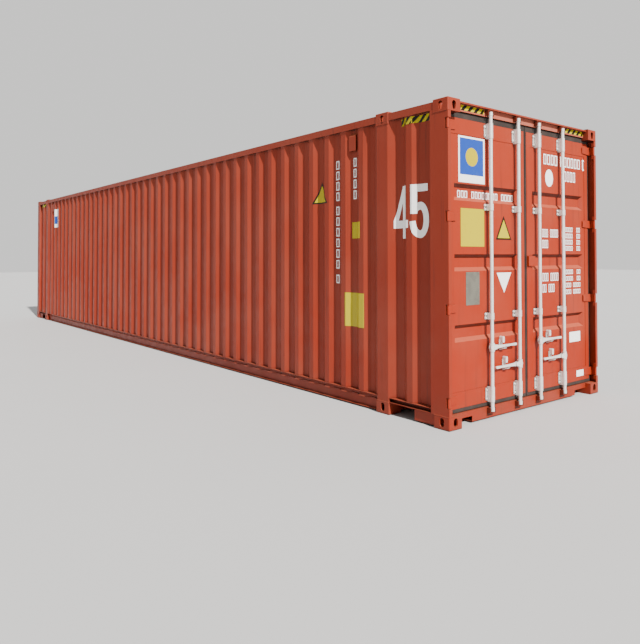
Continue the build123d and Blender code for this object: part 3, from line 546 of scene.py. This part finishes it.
def finish(name, build, *colours):
    """The material of that name, made once."""
    return bpy.data.materials.get(name) or build(name, *colours)


def zinc():
    """The zinc of the rods, bolts and screws."""
    return finish("hot_dip_galvanised_steel", galvanised_steel)


def film_material(kind):
    """The film of one colour."""
    marks = settings()[1]
    colours = {"white": (marks.white, linear("#E9E4DD")), "yellow": (marks.yellow, linear("#AC9A04")),
               "black": (marks.black, linear("#2A221C")), "blue": (marks.blue, linear("#33559F"))}
    colour, worn = colours[kind]
    return finish(f"{kind}_vinyl_film", marking_film, tuple(colour), worn)


def painted(kind):
    """The paint of the walls, the doors, the header or the keepers."""
    paint = settings()[0]
    colour, faded = tuple(getattr(paint, kind)), tuple(getattr(paint, f"{kind}_faded"))
    return finish(f"{kind}_red_oxide_paint", container_paint, colour, faded, *RUST_AND_CORNER_SHADE[kind])


def lay_films(name, colours, body):
    """Lays a film piece for each colour's grids; the braces in the name stand for the colour."""
    for kind, grids in colours.items():
        make_piece(name.format(kind), grids, film_material(kind), body, thickness=settings()[1].film)


class ContainerOperator(bpy.types.Operator):
    """Shared base of the container's operators."""
    bl_options = {"REGISTER", "UNDO"}


class CONTAINER_OT_finish_steelwork(ContainerOperator):
    """Gives every CAD node its material."""
    bl_idname = "container.finish_steelwork"
    bl_label = "Finish the steelwork"

    def execute(self, context):
        finishes = {"wall_paint": painted("wall"), "door_paint": painted("door"),
                    "galvanised_steel": zinc(), "gasket_rubber": finish("door_seal_rubber", seal_rubber),
                    "floor_plywood": finish("oiled_plywood", oiled_plywood)}
        # The header gets a lighter paint with little painted corner shade, as painted light against the gutter's
        # shadow; the keepers get a darker paint, partly grease and partly painted shade
        own = {"door_header": painted("header"), "cam_keepers": painted("keeper")}
        for part in frame["record"]["subparts"]:
            mesh = frame["nodes"][part["node"]].data
            mesh.materials.clear()
            mesh.materials.append(own.get(part["node"], finishes[part["material_slot"]]))
        return {"FINISHED"}


def upright(along):
    """An upright edge of a stroke, as a function of the height."""
    return lambda up: 0 * up + along


def stroke_shape(low, high, left, right):
    """Grid of a stroke between two heights, whose left and right edges are functions of the height."""
    up = np.linspace(low, high, max(2, int((high - low) / 0.02) + 1))[:, None]
    share = np.linspace(0, 1, 60)[None]
    first, last = left(up), right(up)
    return np.stack([first + (last - first) * share, up + 0 * share], axis=-1)


def figure_four(height, stroke):
    """A four: a slanted stroke that meets the upright one at the top, over a crossbar."""
    stem_left = 0.268 * height
    stem_right = stem_left + 0.84 * stroke
    bar_low, bar_high, width = 0.197 * height, 0.343 * height, 0.47 * height
    foot = 0.045 * height
    lean = (stem_left - foot) / (0.982 * height - bar_high)

    def outer(up):
        return np.minimum(foot + (up - bar_high) * lean, stem_left)

    def inner(up):
        return np.minimum(0.104 * height + foot + (up - bar_high) * lean, stem_left)

    shapes = [stroke_shape(bar_high, height, outer, inner)]
    for low, high in ((0.0, bar_low), (bar_high, height)):
        shapes.append(stroke_shape(low, high, upright(stem_left), upright(stem_right)))
    shapes.append(stroke_shape(bar_low, bar_high, upright(foot), upright(width)))
    return shapes, width


def figure_five(height, stroke):
    """A five: a stem and a top bar over a bowl that lies between two upright ellipses.

    The bowl is centre + (a cos t, b sin t) from t = 140 to -176 degrees, cut off at the stem's edge."""
    stem_left, stem_right, width = 0.016 * height, 0.148 * height, 0.424 * height
    turn = np.radians(np.linspace(140, -176, 120))[None]
    share = np.linspace(0, 1, 14)[:, None]
    along = (0.211 - 0.006 * share) * height + (0.213 - 0.128 * share) * height * np.cos(turn)
    up = (0.335 - 0.002 * share) * height + (0.335 - 0.141 * share) * height * np.sin(turn)
    along = np.where(turn > np.pi / 2, np.maximum(along, stem_right), along)
    stem = stroke_shape(0.452 * height, height, upright(stem_left), upright(stem_right))
    bar = stroke_shape(height - stroke, height, upright(stem_right), upright(0.395 * height))
    return [np.stack([along, up], axis=-1), stem, bar], width


class CONTAINER_OT_size_figures(ContainerOperator):
    """Lays the large plain size figures over the folds of the end walls."""
    bl_idname = "container.size_figures"
    bl_label = "Size figures"

    def execute(self, context):
        marks = settings()[1]
        four, width = figure_four(marks.figure_height, marks.figure_stroke)
        five, five_width = figure_five(marks.figure_height, marks.figure_stroke)
        start, foot, gap = FIGURES
        across = width + gap + five_width
        for name, side in SIDES.items():
            wall = side_sheet(name)
            grids = []
            for shift, shapes in ((0.0, four), (width + gap, five)):
                for shape in shapes:
                    # The figures read towards the doors on the left wall, and away from them on the other
                    along = shift + shape[..., 0]
                    place = start + along if side < 0 else start + across - along
                    grids.append(wall.point(place, foot + shape[..., 1], marks.lift))
            lay_films(f"{name}_size_figures", {"white": grids}, "container")
        return {"FINISHED"}


def stripes(start, end, lean, pitch, columns, rows=6, shift=0.5):
    """Grids of (along, share of height) for slanted stripes, cut off at both ends of a band.

    The first stripe starts a share of the pitch before the band."""
    made = []
    share = np.linspace(0, 1, rows)[:, None]
    for foot in np.arange(start - shift * pitch, end, pitch):
        along = np.linspace(foot, foot + pitch / 2, columns)[None] + lean * share
        along = np.clip(along, start, end)
        if np.ptp(along) > 1e-4:
            made.append((along, share + 0 * along))
    return made


class CONTAINER_OT_hazard_bands(ContainerOperator):
    """Lays black and yellow bands under the top rails at the ends and on the door header."""
    bl_idname = "container.hazard_bands"
    bl_label = "Hazard bands"

    def execute(self, context):
        marks = settings()[1]
        above = marks.lift + marks.film
        low, high = WALL_BAND_HEIGHTS
        for name in SIDES:
            wall = side_sheet(name)
            yellow, black = [], []
            for start, end in WALL_BANDS:
                yellow.append(wall.patch(start, end, low, high, marks.lift))
                for along, up in stripes(start, end, high - low, marks.stripe_pitch, 10):
                    black.append(wall.point(along, low + (high - low) * up, above))
            lay_films(f"{name}_wall_hazard_{{}}", {"yellow": yellow, "black": black}, "container")
        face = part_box("door_header")[1].x + marks.lift
        low, high = HEADER_BAND_HEIGHTS
        yellow, black = [], []
        for start, end, shift in HEADER_BANDS:
            yellow.append(face_patch(face, [(start, low), (end, low), (end, high), (start, high)]))
            for along, up in stripes(start, end, high - low, marks.stripe_pitch, 2, 2, shift):
                black.append(points_of(face + marks.film, along, low + (high - low) * up))
        lay_films("header_hazard_{}", {"yellow": yellow, "black": black}, "container")
        return {"FINISHED"}


class CONTAINER_OT_wall_marks(ContainerOperator):
    """Lays the plain panels, triangles and upright rows of blocks on the long walls."""
    bl_idname = "container.wall_marks"
    bl_label = "Wall marks"

    def execute(self, context):
        marks = settings()[1]
        lift, above = marks.lift, marks.lift + marks.film
        block, stroke, below = 0.090, 0.012, 0.046
        middle, half, foot, tip, edge = 4.986, 0.134, 2.084, 2.316, 0.014
        inner = half - 2 * edge
        rise = (tip - foot) / half
        for name in SIDES:
            wall = side_sheet(name)
            white, yellow = [], []
            for row, width, heads in WALL_ROWS:
                for head in heads:
                    ring = open_block(row, head - below, width, block, stroke)
                    white.append(wall.point(ring[..., 0], ring[..., 1], lift))
            for start, end, low, high in WALL_PANELS:
                yellow.append(wall.patch(start, end, low, high, lift))
            black = [wall.patch(middle - half, middle + half, foot,
                                lambda x: foot + rise * (half - np.abs(x - middle)), lift, 0.01)]
            yellow.append(wall.patch(middle - inner, middle + inner, foot + edge,
                                     lambda x: foot + edge + rise * (inner - np.abs(x - middle)),
                                     above, 0.01))
            # A plain two-colour panel at the far end
            white.append(wall.patch(*FAR_PANEL, lift))
            blue = [wall.patch(*FAR_FIELD, above)]
            lay_films(f"{name}_wall_{{}}_marks", {"white": white, "yellow": yellow, "black": black,
                                                  "blue": blue}, "container")
        return {"FINISHED"}


class CONTAINER_OT_door_marks(ContainerOperator):
    """Lays the plain panels, triangles, disc and rows of blocks on the door leaves."""
    bl_idname = "container.door_marks"
    bl_label = "Door marks"

    def execute(self, context):
        marks = settings()[1]
        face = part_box("left_door_panel")[1].x + marks.lift
        above = face + marks.film
        # A white panel, deeper at its foot, under a blue field with a pale disc
        panel, field, disc_radius = (-0.811, 2.385, 0.368, 0.42), (-0.811, 2.412, 0.328, 0.332), 0.085
        white = [rectangle(face, *panel), triangle(face, -0.345, 1.349, 0.224, -0.191)]
        yellow = [disc(above + marks.film, field[0], field[1], disc_radius),
                  rectangle(face, -0.803, 1.768, 0.33, 0.346), triangle(above, -0.345, 1.679, 0.186, 0.176)]
        white += block_row(face - RECESS_DEPTH, RECESS_ROW, 0.237)
        black = [triangle(face, -0.345, 1.664, 0.236, 0.228)]
        lay_films("left_door_{}_marks", {"white": white, "yellow": yellow, "black": black,
                                         "blue": [rectangle(above, *field)]}, "left_door")
        # The smallest label sits on the foot of the leaf's frame, which stands proud of the panel
        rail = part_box("right_door_frame")[1].x + marks.lift
        white = [disc(face, 0.424, 2.316, 0.07, 0.09), rectangle(face, 0.884, 0.637, 0.21, 0.108),
                 rectangle(rail, 0.975, 0.235, 0.14, 0.066)]
        for row in DOOR_ROWS:
            white += block_row(face, row)
        lay_films("right_door_{}_marks", {"white": white}, "right_door")
        return {"FINISHED"}


class CONTAINER_OT_data_plate(ContainerOperator):
    """Rivets a bare data plate to the left leaf."""
    bl_idname = "container.data_plate"
    bl_label = "Data plate"

    def execute(self, context):
        radius = settings()[2].rivet
        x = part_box("left_door_panel")[1].x
        y, z, width, height, steel = DATA_PLATE
        front = x + steel
        brushed = finish("brushed_stainless_plate", etched_plate)
        plate = block_grid((x, y - width / 2, z - height / 2), (front, y + width / 2, z + height / 2))
        make_piece("data_plate", [plate], brushed, "left_door", ring=True)
        reach, climb = width / 2 - 2 * radius, height / 2 - 2 * radius
        places = [(front, y + side * reach, z + level * climb) for side in (-1, 1) for level in (-1, 0, 1)]
        dome = [(0, -steel), (radius, -steel), (radius, 0.0), (0.6 * radius, 0.0022), (0, 0.003)]
        make_piece("data_plate_rivets", turned(places, (1, 0, 0), dome, 12), brushed, "left_door",
                   ring=True)
        return {"FINISHED"}


class CONTAINER_OT_door_bolts(ContainerOperator):
    """Bolts on the plates of the rod bearings and guides."""
    bl_idname = "container.door_bolts"
    bl_label = "Door bolts"

    def execute(self, context):
        radius = settings()[2].bolt
        washer, washer_steel, shoulder, top = 1.5 * radius, 0.0015, 0.008, 0.0095
        head = [(0, -SEAT), (washer, -SEAT), (washer, washer_steel), (radius, washer_steel),
                (radius, shoulder), (0.82 * radius, top), (0, top)]
        for name in SIDES:
            low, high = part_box(f"{name}_door_frame")
            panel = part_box(f"{name}_door_panel")[1].x
            places = []
            for rod, pos in RODS.items():
                if rod.endswith(name):
                    for index, share in enumerate(BRACKET_SHARES):
                        bearing = index in (0, 3)
                        plate = (high.x if bearing else panel) + BRACKET_STEEL
                        height = low.z + share * (high.z - low.z)
                        rise = BEARING_BOLT if bearing else GUIDE_BOLT
                        places += [(plate, pos[1] + side * BOLT_ACROSS, height + level * rise)
                                   for side in (-1, 1) for level in (-1, 1)]
            make_piece(f"{name}_bracket_bolts", turned(places, (1, 0, 0), head, 6), zinc(),
                       f"{name}_door", ring=True)
        return {"FINISHED"}


class CONTAINER_OT_floor_screws(ContainerOperator):
    """Countersunk screws that hold the plywood to each cross member."""
    bl_idname = "container.floor_screws"
    bl_label = "Floor screws"

    def execute(self, context):
        hardware = settings()[2]
        low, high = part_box("plywood_floor")
        rows = np.arange(low.x + 0.1, high.x - 0.05, hardware.screw_pitch)
        across = np.linspace(low.y + 0.06, high.y - 0.06, 14)
        radius, sunk, rim, top = hardware.screw, -2 * SEAT, 0.0002, 0.0006
        head = [(0, sunk), (radius, sunk), (radius, rim), (0.8 * radius, top), (0, top)]
        places = [(x, y, high.z) for x in rows for y in across]
        make_piece("floor_screws", turned(places, (0, 0, 1), head, hardware.screw_sides), zinc(),
                   "container", ring=True)
        return {"FINISHED"}


class CONTAINER_OT_weld_seams(ContainerOperator):
    """Weld beads along the folded sheets, across the roof, at the fittings and round the hinges."""
    bl_idname = "container.weld_seams"
    bl_label = "Weld seams"

    def execute(self, context):
        radius = settings()[2].seam
        sheets = []
        for wall in [side_sheet(name) for name in SIDES] + [FoldedSheet(["front_wall_panel"], 1, -1)]:
            sheets += [wall.bead(wall.places[0], wall.places[-1], z, radius)
                       for z in (wall.low, wall.high)]
        make_piece("wall_sheet_welds", sheets, painted("wall"), "container", ring=True)
        low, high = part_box("roof_panel")
        inset, thin = 0.01, 0.6 * radius
        across = np.linspace(low.y + inset, high.y - inset, 30)
        along = np.linspace(low.x + inset, high.x - inset, 120)
        seams = [tube(points_of(x, across, high.z), thin)
                 for x in ROOF_PITCH * np.arange(-5 * ROOF_SEAMS, 5 * ROOF_SEAMS + 1, ROOF_SEAMS)]
        seams += [tube(points_of(along, y, high.z - 2 * SEAT), thin) for y in (low.y, high.y)]
        make_piece("roof_sheet_welds", seams, painted("wall"), "container", ring=True)
        beads = []
        sunk = 2 * SEAT
        for node, top in (("top_corner_fittings", True), ("bottom_corner_fittings", False)):
            low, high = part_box(node)
            z = low.z if top else high.z
            for end in (-1, 1):
                outer, inner = end * (high.x - 3 * sunk), end * (high.x - FITTING_LENGTH)
                beads += [tube([(inner, side * (high.y - sunk), z), (outer, side * (high.y - sunk), z)],
                               0.8 * radius) for side in (-1, 1)]
        make_piece("fitting_welds", beads, painted("wall"), "container", ring=True)
        for name, side in SIDES.items():
            low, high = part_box(f"{name}_door_frame")
            tip = side * (HINGE_FOOT - BLADE_REACH)
            root = (high.y if side > 0 else low.y) - side * 2 * sunk
            beads = []
            for share in HINGE_SHARES:
                z = low.z + share * (high.z - low.z)
                across = (root, tip, tip, root)
                rise = z + np.array((BLADE_HALF, BLADE_TIP_HALF, -BLADE_TIP_HALF, -BLADE_HALF))
                beads.append(tube(points_of(high.x, across, rise), 0.7 * radius))
            make_piece(f"{name}_hinge_welds", beads, painted("door"), f"{name}_door",
                       ring=True)
        return {"FINISHED"}


class CONTAINER_OT_stage(ContainerOperator):
    """Pale plain floor, soft light and the camera at the photograph's viewing angle."""
    bl_idname = "container.stage"
    bl_label = "Stage"

    def execute(self, context):
        stage = settings()[3]
        lines = np.linspace(-stage.floor / 2, stage.floor / 2, 9)
        x, y = np.meshgrid(lines, lines)
        mesh = bpy.data.meshes.new("studio_floor")
        mesh.from_pydata(points_of(x, y, 0.0).reshape(-1, 3).tolist(), [],
                         grid_faces(len(lines), len(lines), 0, False).tolist())
        pale = linear("#C6C8CA")
        material, tree, shader, place = start_material("pale_matt_floor", pale)
        tint = add_node(tree, "ShaderNodeMix",
                        {0: blotches(tree, place, 2000), 6: pale, 7: linear("#CBCCCE")},
                        data_type="RGBA").outputs[2]
        tree.links.new(tint, shader.inputs["Base Color"])
        shader.inputs["Roughness"].default_value = 0.75
        mesh.materials.append(material)
        floor = bpy.data.objects.new("studio_floor", mesh)
        context.scene.collection.objects.link(floor)
        # The surround is brighter on one side, like a lit backdrop behind the object
        world = bpy.data.worlds.new("studio_surround")
        world.use_nodes = True
        space = world.node_tree
        background = space.nodes["Background"]
        background.inputs["Color"].default_value = linear("#F1F0EE")
        aim = add_node(space, "ShaderNodeVectorMath",
                       {0: add_node(space, "ShaderNodeTexCoord").outputs["Generated"], 1: BACKDROP_FROM},
                       operation="DOT_PRODUCT")
        vary(space, background, "Strength", aim.outputs["Value"], 0.3, 0.8, stage.fill, stage.backdrop)
        context.scene.world = world
        light = bpy.data.lights.new("key_light", "SUN")
        light.energy = stage.key
        light.angle = math.radians(1.2)
        light.color = (1.0, 0.96, 0.90)
        lamp = bpy.data.objects.new("key_light", light)
        lamp.rotation_euler = Vector(KEY_FROM).to_track_quat("Z", "Y").to_euler()
        context.scene.collection.objects.link(lamp)
        view = bpy.data.cameras.new("camera")
        view.lens = stage.lens
        view.sensor_width = 36.0
        view.shift_x, view.shift_y = CAMERA_SHIFT
        view.clip_end = 300.0
        camera = bpy.data.objects.new("camera", view)
        turn = Matrix(CAMERA_AXES).transposed().to_4x4()
        camera.matrix_world = Matrix.Translation(CAMERA_PLACE) @ turn
        context.scene.collection.objects.link(camera)
        context.scene.camera = camera
        return {"FINISHED"}


OPERATORS = (CONTAINER_OT_finish_steelwork, CONTAINER_OT_size_figures, CONTAINER_OT_hazard_bands,
             CONTAINER_OT_wall_marks, CONTAINER_OT_door_marks, CONTAINER_OT_data_plate,
             CONTAINER_OT_door_bolts, CONTAINER_OT_floor_screws, CONTAINER_OT_weld_seams, CONTAINER_OT_stage)
GROUPS = {"container_paint": ContainerPaintSettings, "container_marks": ContainerMarkSettings,
          "container_hardware": ContainerHardwareSettings, "container_stage": ContainerStageSettings}


class CONTAINER_PT_panel(bpy.types.Panel):
    """Lists the container's operators in the sidebar."""
    bl_label = "Container"
    bl_space_type = "VIEW_3D"
    bl_region_type = "UI"
    bl_category = "Container"

    def draw(self, context):
        for operator in OPERATORS:
            self.layout.operator(operator.bl_idname)


def register():
    """Registers the settings, the operators and the panel."""
    for name, group in GROUPS.items():
        bpy.utils.register_class(group)
        setattr(bpy.types.Scene, name, PointerProperty(type=group))
    for operator in OPERATORS + (CONTAINER_PT_panel,):
        bpy.utils.register_class(operator)


def unregister():
    """Takes back what register added."""
    for operator in reversed(OPERATORS + (CONTAINER_PT_panel,)):
        bpy.utils.unregister_class(operator)
    for name, group in reversed(GROUPS.items()):
        delattr(bpy.types.Scene, name)
        bpy.utils.unregister_class(group)


def main():
    """Runs every operator in order."""
    register()
    for operator in OPERATORS:
        category, action = operator.bl_idname.split(".")
        getattr(getattr(bpy.ops, category), action)()


if __name__ == "__main__":
    main()
